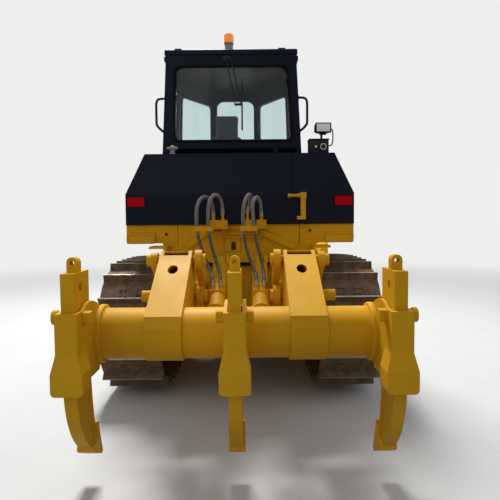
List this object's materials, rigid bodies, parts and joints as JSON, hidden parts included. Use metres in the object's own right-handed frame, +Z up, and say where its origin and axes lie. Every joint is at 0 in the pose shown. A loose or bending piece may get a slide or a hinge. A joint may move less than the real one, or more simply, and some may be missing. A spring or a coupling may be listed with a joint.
{
  "type": "bulldozer",
  "caption": "Tracked crawler bulldozer with an enclosed cab, a straight front blade on push arms and a raised parallelogram ripper behind.",
  "frame": {"origin": "on the ground, at the middle of the bounding box", "axes": "+Z up, +Y towards the blade, +X to the machine's right"},
  "size_m": [3.2, 7.11, 3.61],
  "materials": {
    "amber_lens": "clear amber",
    "black_paint": "semi gloss black enamel",
    "cab_plastic": "moulded",
    "chrome_rod": "polished",
    "dark_paint": "gloss dark blue black enamel",
    "hose_rubber": "matte",
    "red_lens": "ribbed reflector",
    "seat_cloth": "woven",
    "track_steel": "worn brown steel",
    "window_glass": "tinted clear",
    "worn_steel": "bare worn steel",
    "yellow_paint": "gloss yellow enamel"
  },
  "bodies": {
    "tractor": {"track_right": "track_steel", "track_left": "track_steel", "sprockets": "worn_steel", "final_drives": "yellow_paint", "track_rollers": "worn_steel", "idlers": "worn_steel", "track_frames": "yellow_paint", "main_frame": "yellow_paint", "equalizer_bar": "yellow_paint", "engine_block": "black_paint", "hood": "yellow_paint", "side_panels": "yellow_paint", "radiator_guard": "yellow_paint", "radiator": "black_paint", "grille": "black_paint", "exhaust_pipe": "black_paint", "air_precleaner": "black_paint", "fenders": "yellow_paint", "deck": "yellow_paint", "tank_support": "yellow_paint", "fuel_tank": "dark_paint", "filler_cap": "black_paint", "cab_rear_wall": "dark_paint", "rear_window": "window_glass", "cab_frame": "dark_paint", "front_windows": "window_glass", "cab_floor": "cab_plastic", "cab_roof": "dark_paint", "beacon": "amber_lens", "seat": "seat_cloth", "cab_interior": "cab_plastic", "cab_handles": "dark_paint", "work_lamp": "black_paint", "reflectors": "red_lens", "ripper_bracket": "yellow_paint", "hose_1": "hose_rubber", "hose_2": "hose_rubber", "hose_3": "hose_rubber", "hose_4": "hose_rubber", "hose_blocks": "yellow_paint", "fuel_coupler": "yellow_paint"},
    "blade": {"blade": "yellow_paint", "cutting_edge": "worn_steel", "push_arms": "yellow_paint", "blade_braces": "yellow_paint"},
    "lift_barrels": {"lift_barrels": "yellow_paint"},
    "lift_rods": {"lift_rods": "chrome_rod"},
    "ripper_lower_links": {"ripper_lower_links": "yellow_paint"},
    "ripper_upper_links": {"ripper_upper_links": "yellow_paint"},
    "ripper_carriage": {"ripper_beam": "yellow_paint", "ripper_shanks": "yellow_paint", "shank_pins": "yellow_paint", "ripper_points": "yellow_paint"},
    "ripper_barrels": {"ripper_barrels": "yellow_paint"},
    "ripper_rods": {"ripper_rods": "chrome_rod"},
    "door_left": {"door_left": "dark_paint", "door_glass_left": "window_glass"},
    "door_right": {"door_right": "dark_paint", "door_glass_right": "window_glass"}
  },
  "joints": [
    {"name": "blade_lift", "type": "hinge", "parent": "tractor", "child": "blade", "pos_m": [0, -0.165, 0.43], "axis": [1, 0, 0], "range_deg": [-6, 14]},
    {"name": "lift_barrel_swing", "type": "hinge", "parent": "tractor", "child": "lift_barrels", "pos_m": [0, 2.375, 1.76], "axis": [1, 0, 0], "range_deg": [-8.61, 19.38]},
    {"name": "lift_rod_slide", "type": "slide", "parent": "lift_barrels", "child": "lift_rods", "axis": [0, 0.4918, -0.8707], "range_m": [-0.71696, 0.31865]},
    {"name": "ripper_lift", "type": "hinge", "parent": "tractor", "child": "ripper_lower_links", "pos_m": [0, -1.765, 0.64], "axis": [1, 0, 0], "range_deg": [-8, 48]},
    {"name": "ripper_upper_swing", "type": "hinge", "parent": "tractor", "child": "ripper_upper_links", "pos_m": [0, -1.865, 0.92], "axis": [1, 0, 0], "range_deg": [-9.12, 49.12]},
    {"name": "ripper_carriage_level", "type": "hinge", "parent": "ripper_lower_links", "child": "ripper_carriage", "pos_m": [0, -2.465, 1.1], "axis": [1, 0, 0], "range_deg": [-49.12, 9.12]},
    {"name": "ripper_barrel_swing", "type": "hinge", "parent": "tractor", "child": "ripper_barrels", "pos_m": [0, -1.765, 1.3], "axis": [1, 0, 0], "range_deg": [-3.79, 20.41], "deforming": ["hose_1", "hose_2", "hose_3", "hose_4"]},
    {"name": "ripper_rod_slide", "type": "slide", "parent": "ripper_barrels", "child": "ripper_rods", "axis": [0, -0.9189, -0.3944], "range_m": [-0.09296, 0.50067]},
    {"name": "door_right_hinge", "type": "hinge", "parent": "tractor", "child": "door_right", "pos_m": [0.65862, -0.258, 1.9], "axis": [-0.0514, 0, 0.9987], "range_deg": [0, 100]},
    {"name": "door_left_hinge", "type": "hinge", "parent": "tractor", "child": "door_left", "pos_m": [-0.82862, -0.258, 1.9], "axis": [0.0514, 0, 0.9987], "range_deg": [-100, 0]}
  ],
  "couplings": [
    {"joint": "lift_barrel_swing", "follows": "blade_lift", "ratio": 1.3456},
    {"joint": "lift_rod_slide", "follows": "blade_lift", "m_per_rad": -2.8527},
    {"joint": "ripper_upper_swing", "follows": "ripper_lift", "ratio": 1},
    {"joint": "ripper_carriage_level", "follows": "ripper_lift", "ratio": -1},
    {"joint": "ripper_barrel_swing", "follows": "ripper_lift", "ratio": 0.41543},
    {"joint": "ripper_rod_slide", "follows": "ripper_lift", "m_per_rad": 0.584}
  ]
}
